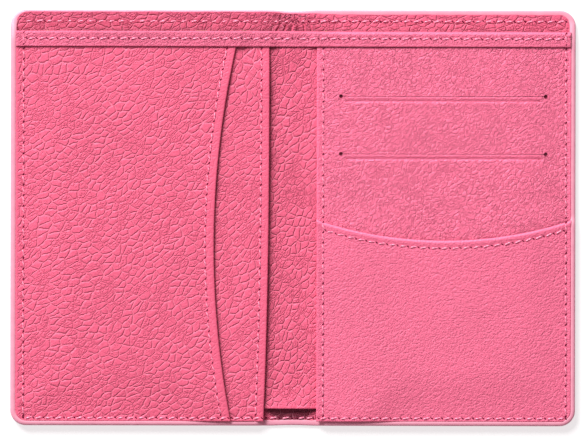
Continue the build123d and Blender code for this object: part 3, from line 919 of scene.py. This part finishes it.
cardXs = stations([(panelEdge, rightEdge - 3, fine), (rightEdge - 3, rightEdge, 0.35)])
for middle in holeX:
    cardXs = besideHoles(cardXs, middle)
cardYs = stations([(panelsLow, receiptCorner - 10, leather["coarseStep"]),
                   (receiptCorner - 10, slitLevels[1] - 3, fine), (slitLevels[1] - 3, slitLevels[1] + 1, 0.2),
                   (slitLevels[1] + 1, slitLevels[0] - 3, fine), (slitLevels[0] - 3, slitLevels[0] + 1, 0.2),
                   (slitLevels[0] + 1, panelsTop, fine)])
for end in pressedEnds:
    near = [end + 0.15 * step for step in range(-3, 4)]
    cardXs = np.array(sorted([p for p in cardXs if abs(p - end) > 0.55] + near))
for level in slitLevels:
    cardYs = besideHoles(cardYs, level)
pocket("cardPanel", cardXs, cardYs, cardShape, ironed, "right_cover",
       ["card_panel_top", "card_panel_middle", "card_panel_bottom", "card_panel_bridges"],
       {"shift": (60, -40), "turn": 3, "finer": 1.4, "tone": cardPaintedLight}, cardHoles, cardSnap)


# receipt pocket, with its curved top edge
receiptSettings = {"grain": 0.037, "mouthLift": 0.18, "mouthDrop": 0.66, "mouthHighlight": 0.5}


# A painted highlight along the folded mouth.
def receiptPaintedHighlight(x, y):
    return 1 + receiptSettings["mouthHighlight"] * ridge(receiptMouth(x) - y - 0.4, 0.24)


def receiptShape(gridX, gridY):
    y = spread(gridY, panelsLow, receiptCorner, panelsLow, receiptMouth(gridX))
    high = outerRight(y)
    x = spread(gridX, panelEdge, rightEdge, panelEdge, high)
    fromMouth = receiptMouth(x) - y
    distance = np.minimum(np.minimum(x - panelEdge, high - x), np.minimum(y - panelsLow, fromMouth))
    top = receiptTop(x, y) + sewnDip(x - panelEdge - seams["panel"], 0.12) + sewnDip(x - seams["rightX"], 0.1)
    top = top + sewnDip(fromMouth - seams["receipt"], 0.12) + sewnDip(y - seams["bottomY"], 0.1)
    top = top + receiptSettings["mouthLift"] * smooth(4, 0, fromMouth) + 0.05 * ripple(x, y, 31, 36)
    top = top - np.maximum(rolled(distance, leather["edgeRoll"]),
                           receiptSettings["mouthDrop"] * rolled(fromMouth, leather["mouthRoll"]))
    depth = receiptSettings["grain"] * seamBand(fromMouth, seams["receipt"], 0.2) * smooth(0.3, 1.4, distance)
    return x, y, top, receiptTop(x, y) - layerAt(x, y), depth


receiptXs = stations([(panelEdge, rightEdge - 3, fine), (rightEdge - 3, rightEdge, 0.35)])
receiptYs = stations([(panelsLow, panelsLow + 5, 0.35), (panelsLow + 5, receiptCorner, fine)])
pocket("receiptPocket", receiptXs, receiptYs, receiptShape, ironed, "right_cover",
       ["receipt_pocket"], {"shift": (-120, -60), "turn": -8, "finer": 1.1, "tone": receiptPaintedHighlight})
print("right pockets made")


# hem: a strip turned over the top edge of every layer
hemSettings = {"grain": 0.07, "topRoll": 0.75, "topRollRight": 1.35, "lowRoll": 0.3, "endRoll": 0.6,
               "endInset": 0.3, "topInset": 0.4}
hemEnds = [leftEdge + hemSettings["endInset"], rightEdge - hemSettings["endInset"]]


# A little darker on the left; a painted highlight along the turned edge on the right.
def hemToneAndHighlight(x, y):
    right = smooth(0, 20, x)
    return 0.91 + 0.09 * right + 0.28 * right * ridge(hemHigh - hemSettings["topInset"] - y - 0.8, 0.3)


def hemShape(gridX, gridY):
    x = gridX
    inset = hemSettings["topInset"] + 0.1 * smooth(-5, 15, x)
    y = gridY - inset * np.clip((gridY - panelsTop) / (hemHigh - panelsTop), 0, 1)
    fromTop, fromLow = hemHigh - inset - y, y - hemLow
    ends = np.minimum(x - hemEnds[0], hemEnds[1] - x)
    top = hemTop(x, y) + 0.16 * np.sin(np.pi * np.clip(fromLow / (hemHigh - hemLow), 0, 1))
    top = top + sewnDip(y - seams["hemY"], 0.16, 0.7)
    roll = hemSettings["topRoll"] + (hemSettings["topRollRight"] - hemSettings["topRoll"]) * smooth(0, 20, x)
    top = top - rolled(fromTop, roll)
    top = top - np.maximum(rolled(fromLow, hemSettings["lowRoll"]), rolled(ends, hemSettings["endRoll"]))
    under = hemTop(x, y) - leather["hem"]
    wall = smooth(panelsTop + 0.12, panelsTop + 0.2, gridY)
    bottom = under + (dividerTop(x, y) - leather["layer"] - 0.05 - under) * wall
    depth = hemSettings["grain"] * smooth(0.4, 1.2, np.minimum(fromLow, fromTop))
    return x, y, top, bottom, depth


xs = stations([(hemEnds[0], -24, 0.6), (-24, 0, 0.35), (0, 12, 0.35), (12, hemEnds[1], 0.6)])
ys = stations([(hemLow, panelsTop + 0.1, 0.3), (panelsTop + 0.1, panelsTop + 0.22, 0.12),
               (panelsTop + 0.22, hemHigh, 0.12)])
halves("hem", hide("hem", xs, ys, hemShape, {"shift": (0, -400), "turn": 0, "finer": 1.3, "tone": hemToneAndHighlight}),
       ironed, ["hem_left", "hem_spine"], ["hem_right"])
print("hem made")


# hidden cloth: the liners behind the slits and the tape in the seams
def evenly(low, high, step):
    return stations([(low, high, step)], False, False)


linerSettings = {"thick": 0.15, "step": 2.0, "upperLift": -0.029, "lowerLift": 0.124}
for side in ("upper", "lower"):
    low, high = cadBox("card_liner_" + side)

    def linerShape(x, y):
        top = dividerTop(x, y) + linerSettings[side + "Lift"]
        return x, y, top, top - linerSettings["thick"], 0

    xs, ys = [evenly(low[axis], high[axis], linerSettings["step"]) for axis in (0, 1)]
    mesh = sheetMesh(side + "CardLiner", xs, ys, linerShape)[0]
    liner = addPiece(side + "CardLiner", mesh, linerMaterial, sharp=40)
    handOver(liner, ["card_liner_" + side], "right_cover")

# woven tape along the outer side and the foot of each pocket, and along the inner side of the card side's
tapeSettings = {"width": 2.4, "inset": 0.6, "under": 0.02, "stepX": 1.2, "stepY": 2.0}
notchLeft, notchRight = dividerSettings["notchLeft"], dividerSettings["notchRight"]
for name, node, layerTop, x0, x1, high in (
        ("billTapeLeft", "bill_seam_tape_left", dividerTop, leftEdge, notchLeft - 1, None),
        ("billTapeRight", "bill_seam_tape_right", dividerTop, notchRight + 1, rightEdge, None),
        ("sleeveTape", "sleeve_seam_tape", sleeveTop, leftEdge, sleeveTopX - 5, None),
        ("slipTape", "slip_seam_tape", slipTop, leftEdge, -29, None),
        ("cardTape", "card_seam_tape", panelTop, panelEdge + 1.4, rightEdge, None),
        ("receiptTape", "receipt_seam_tape", receiptTop, panelEdge + 0.2, rightEdge, receiptCorner - 9)):
    high = high or panelsTop - 1
    width, inset = tapeSettings["width"], tapeSettings["inset"]
    foot, left = panelsLow + inset, x0 < 0
    sideX = x0 + inset if left else x1 - inset - width
    strips = [(sideX, sideX + width, panelsLow + 6, high),
              (x0 + 6 if left else x0 + inset, x1 - inset if left else x1 - 6, foot, foot + width)]
    if layerTop in (panelTop, receiptTop):
        strips.append((x0 + inset, x0 + inset + width, foot + width + 0.2, high))

    def tapeShape(x, y):
        level = layerTop(x, y) - leather["layer"] - tapeSettings["under"]
        return x, y, level + 0.1, level - 0.05, 0

    bm = bmesh.new()
    for stripLeft, stripRight, stripLow, stripHigh in strips:
        bm.from_mesh(sheetMesh(name, evenly(stripLeft, stripRight, tapeSettings["stepX"]),
                               evenly(stripLow, stripHigh, tapeSettings["stepY"]), tapeShape)[0])
    handOver(addPiece(name, toMesh(name, bm), tapeMaterial, sharp=40), [node],
             "left_cover" if left else "right_cover")
for side in ("left", "right"):
    setMaterial(frame["nodes"]["board_" + side], boardMaterial)
print("hidden layers made")


# stitching
stitchSettings = {"pitch": 3.55, "length": 2.5, "width": 0.62, "height": 0.5, "slant": math.radians(12),
                  "dive": math.radians(8), "hole": (1.0, 0.44, 0.3),
                  "holeSlant": math.radians(-38)}


# Rows of slanted stitches with a needle hole, a dark cap of painted shade, between each two. A run is
# (points, level), where points lie along the row and level(x, y) is the leather's surface.
def seamPiece(name, runs):
    settings = stitchSettings
    bm = bmesh.new()
    rng = np.random.default_rng(len(name) * 7 + len(runs))
    for points, level in runs:
        lengths = np.concatenate([[0], np.cumsum(np.hypot(*np.diff(points, axis=0).T))])
        count = max(1, round(lengths[-1] / settings["pitch"]))
        pitch = lengths[-1] / count
        for index in range(count + 1):
            along = index * pitch
            def at(place):
                return np.interp(place, lengths, points[:, 0]), np.interp(place, lengths, points[:, 1])
            x0, y0 = at(max(along - 0.3, 0))
            x1, y1 = at(min(along + 0.3, lengths[-1]))
            heading = math.atan2(y1 - y0, x1 - x0)
            hx, hy = at(along)
            z = float(level(np.array([hx]), np.array([hy]))[0])
            made = bmesh.ops.create_uvsphere(bm, u_segments=8, v_segments=4, radius=0.5)
            bmesh.ops.transform(bm, verts=made["verts"], matrix=(
                Matrix.Translation((hx, hy, z)) @ Matrix.Rotation(heading + settings["holeSlant"], 4, "Z")
                @ Matrix.Diagonal((*settings["hole"], 1))))
            for face in {f for v in made["verts"] for f in v.link_faces}:
                face.material_index = 1
            if index == count:
                break
            # the thread comes up out of one hole and sinks towards the next
            middle = along + pitch / 2 + 0.15
            mx, my = at(middle)
            x0, y0 = at(middle - 0.3)
            x1, y1 = at(middle + 0.3)
            heading = math.atan2(y1 - y0, x1 - x0) + settings["slant"] + rng.uniform(-0.06, 0.06)
            z = float(level(np.array([mx]), np.array([my]))[0])
            made = bmesh.ops.create_uvsphere(bm, u_segments=8, v_segments=8, radius=0.5)
            length = min(settings["length"], pitch * 0.8) * rng.uniform(0.94, 1.04)
            bmesh.ops.transform(bm, verts=made["verts"], matrix=(
                Matrix.Translation((mx, my, z + 0.02)) @ Matrix.Rotation(heading, 4, "Z")
                @ Matrix.Rotation(math.pi / 2 + settings["dive"], 4, "Y")
                @ Matrix.Diagonal((settings["height"], settings["width"], length, 1))))
    bmesh.ops.scale(bm, vec=(toMetres,) * 3, verts=bm.verts)
    mesh = toMesh(name, bm)
    mesh.materials.append(threadMaterial)
    mesh.materials.append(holeShadeMaterial)
    mesh.shade_smooth()
    return addObject(name, mesh)


def line(x0, y0, x1, y1, count=40):
    return np.stack([np.linspace(x0, x1, count), np.linspace(y0, y1, count)], axis=1)

def ridingSeam(name, body, node, runs):
    handOver(seamPiece(name, runs), [node], body)


dip = 0.1
sewn = {
    "sleeve": lambda x, y: sleeveTop(x, y) - dip, "slip": lambda x, y: slipTop(x, y) - dip,
    "panel": lambda x, y: panelTop(x, y) - dip, "receipt": lambda x, y: receiptTop(x, y) - dip + 0.05,
    "hem": lambda x, y: hemTop(x, y) + 0.02, "lining": lambda x, y: liningTop(x, y) + 0.03,
}
rows = np.linspace(hemLow - 0.6, seams["bottomY"] + 1.2, 60)
ridingSeam("leftSideSeam", "left_cover", "seam_left_side",
           [(line(seams["leftX"], hemLow - 0.6, seams["leftX"], seams["bottomY"] + 0.8), sewn["slip"]),
            (line(seams["leftX"], hemHigh - 1.0, seams["leftX"], hemLow + 0.9), sewn["hem"])])
ridingSeam("sleeveEdgeSeam", "left_cover", "seam_sleeve_edge",
           [(np.stack([sleeveEdge(rows) - seams["sleeve"], rows], axis=1), sewn["sleeve"])])
ridingSeam("slipEdgeSeam", "left_cover", "seam_slip_edge",
           [(np.stack([slipMouth(rows) - seams["slip"], rows], axis=1), sewn["slip"])])
ridingSeam("rightSideSeam", "right_cover", "seam_right_side",
           [(line(seams["rightX"], receiptCorner - 0.8, seams["rightX"], seams["bottomY"] + 0.8),
             sewn["receipt"]),
            (line(seams["rightX"], hemLow - 0.6, seams["rightX"], receiptCorner + 0.8), sewn["panel"]),
            (line(seams["rightX"], hemHigh - 1.0, seams["rightX"], hemLow + 0.9), sewn["hem"])])
innerX = panelEdge + seams["panel"]
ridingSeam("panelInnerSeam", "right_cover", "seam_panel_inner",
           [(line(innerX, receiptCorner - 0.8, innerX, seams["bottomY"] + 0.8), sewn["receipt"]),
            (line(innerX, hemLow - 0.6, innerX, receiptCorner + 0.8), sewn["panel"])])
columns = np.linspace(innerX + 0.8, seams["rightX"] - 0.8, 60)
ridingSeam("receiptEdgeSeam", "right_cover", "seam_receipt_edge",
           [(np.stack([columns, receiptMouth(columns) - seams["receipt"]], axis=1), sewn["receipt"])])


# A seam that runs on over the spine, one piece for each half.
def crossingSeams(name, leftRuns, rightRuns, nodesLeft, nodesRight):
    bendHalf(seamPiece(name + "Left", leftRuns), -1, nodesLeft)
    bendHalf(seamPiece(name + "Right", rightRuns), 1, nodesRight)


bottomY, topY, hemY = seams["bottomY"], seams["topY"], seams["hemY"]
sleeveFoot, slipFoot = sleeveEdge(np.array([bottomY]))[0], slipMouth(np.array([bottomY]))[0]
crossingSeams(
    "hemSeam",
    [(line(seams["leftX"] + 1, hemY, -0.3, hemY, 200), sewn["hem"])],
    [(line(1.6, hemY, seams["rightX"] - 1, hemY, 200), sewn["hem"])],
    ["seam_hem_left", "seam_hem_spine"], ["seam_hem_right"])
crossingSeams(
    "topSeam",
    [(line(seams["leftX"], topY, -0.3, topY, 100), sewn["lining"])],
    [(line(1.6, topY, seams["rightX"], topY, 100), sewn["lining"])],
    ["seam_top_left", "seam_top_spine"], ["seam_top_right"])
crossingSeams(
    "bottomSeam",
    [(line(seams["leftX"], bottomY, slipFoot - 0.6, bottomY), sewn["slip"]),
     (line(slipFoot + 0.6, bottomY, sleeveFoot - 0.6, bottomY), sewn["sleeve"]),
     (line(sleeveFoot + 1.0, bottomY, -0.3, bottomY), sewn["lining"])],
    [(line(1.6, bottomY, panelEdge - 1.0, bottomY), sewn["lining"]),
     (line(panelEdge + 0.8, bottomY, seams["rightX"], bottomY), sewn["receipt"])],
    ["seam_bottom_left", "seam_bottom_spine"], ["seam_bottom_right"])
print("stitching made")


# floor, lights and camera
studio = {"lens": 300.0, "sensor": 36.0, "aimX": 0.34, "aimY": -0.86, "aimZ": 0.8, "viewWidth": 201.0,
          "roll": math.radians(0.12), "keyPower": 158.0, "keySize": 1.4, "keyPlace": (-1.15, 1.98, 1.62),
          "skyStrength": 0.38, "skyColour": (1.0, 0.74, 0.82, 1), "floorHalf": 4.0, "floorGlow": 0.68,
          "floorShade": (0.35, 0.35, 0.35, 1)}


def makeStudio():
    bm = bmesh.new()
    bmesh.ops.create_grid(bm, x_segments=1, y_segments=1, size=studio["floorHalf"])
    floor = addObject("floor", toMesh("floor", bm))
    material = bpy.data.materials.new("mattWhitePaper")
    material.use_nodes = True
    shader = material.node_tree.nodes["Principled BSDF"]
    for name, value in (("Base Color", studio["floorShade"]), ("Emission Color", (1, 1, 1, 1)),
                        ("Emission Strength", studio["floorGlow"]), ("Roughness", 1.0),
                        ("Specular IOR Level", 0.0)):
        shader.inputs[name].default_value = value
    floor.data.materials.append(material)
    world = bpy.data.worlds.new("studioSky")
    bpy.context.scene.world = world
    world.use_nodes = True
    sky = world.node_tree.nodes["Background"]
    sky.inputs["Color"].default_value = studio["skyColour"]
    sky.inputs["Strength"].default_value = studio["skyStrength"]
    light = bpy.data.lights.new("softKey", "AREA")
    light.energy, light.size = studio["keyPower"], studio["keySize"]
    key = addObject("softKey", light)
    key.location = studio["keyPlace"]
    key.rotation_euler = (-key.location).to_track_quat("-Z", "Y").to_euler()
    lens = bpy.data.cameras.new("camera")
    lens.lens, lens.sensor_width, lens.clip_start = studio["lens"], studio["sensor"], 0.01
    camera = addObject("camera", lens)
    distance = studio["lens"] / studio["sensor"] * studio["viewWidth"]
    camera.location = Vector((studio["aimX"], studio["aimY"], studio["aimZ"] + distance)) * toMetres
    camera.rotation_euler = (0, 0, studio["roll"])
    bpy.context.scene.camera = camera
    bpy.context.scene.view_settings.view_transform = "Standard"


makeStudio()
print("studio made")
